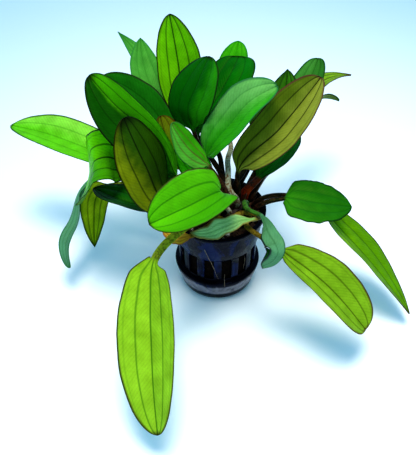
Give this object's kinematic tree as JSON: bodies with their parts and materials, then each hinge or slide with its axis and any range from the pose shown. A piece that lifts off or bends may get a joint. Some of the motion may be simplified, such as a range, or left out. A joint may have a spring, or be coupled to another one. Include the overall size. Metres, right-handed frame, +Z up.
{
  "type": "potted amazon sword plant",
  "caption": "Rosette of broad stalked leaves on a short rhizome, rooted in growing medium in a small slotted net pot with a flat base.",
  "frame": {"origin": "centre of the pot's underside, on the surface that the pot stands on", "axes": "+Z up along the pot's axis, -Y towards the front where the long leaf hangs down, +X to the right seen from the front"},
  "size_m": [0.2256, 0.2431, 0.1195],
  "materials": {
    "pot_plastic": "gloss",
    "growing_medium": "matte",
    "rhizome": "matte",
    "leaf_bright": "gloss",
    "leaf_bronze": "gloss",
    "leaf_dark": "gloss",
    "leaf_dry": "satin",
    "leaf_green": "gloss",
    "leaf_olive": "gloss",
    "leaf_pale": "gloss"
  },
  "bodies": {
    "root": {"net_pot": "pot_plastic", "growing_medium": "growing_medium", "rhizome": "rhizome", "leaf_front_hanging": "leaf_bright", "leaf_front_oval": "leaf_green", "leaf_left_bronze": "leaf_bronze", "leaf_left_folded": "leaf_dark", "leaf_left_shadow": "leaf_dark", "leaf_far_left": "leaf_bright", "leaf_left_bent": "leaf_green", "leaf_left_low": "leaf_dark", "leaf_left_hanging_olive": "leaf_olive", "leaf_left_hanging_grey": "leaf_pale", "leaf_top_bright": "leaf_bright", "leaf_top_dark": "leaf_dark", "leaf_back_pale": "leaf_pale", "leaf_back_point": "leaf_green", "leaf_back_tip": "leaf_green", "leaf_top_right_dark": "leaf_dark", "leaf_centre_pale": "leaf_pale", "leaf_right_bronze": "leaf_olive", "leaf_right_back_round": "leaf_pale", "leaf_right_back_olive": "leaf_bronze", "leaf_right_back_point": "leaf_bright", "leaf_right_back_low": "leaf_olive", "leaf_right_dark": "leaf_dark", "leaf_right_round": "leaf_dark", "leaf_far_right": "leaf_bright", "leaf_right_low": "leaf_bright", "leaf_right_curl": "leaf_pale", "leaf_rim_pale": "leaf_pale", "leaf_rim_yellow": "leaf_dry", "leaf_centre_small": "leaf_pale", "leaf_centre_green": "leaf_green", "leaf_centre_bronze": "leaf_bronze"}
  },
  "joints": []
}
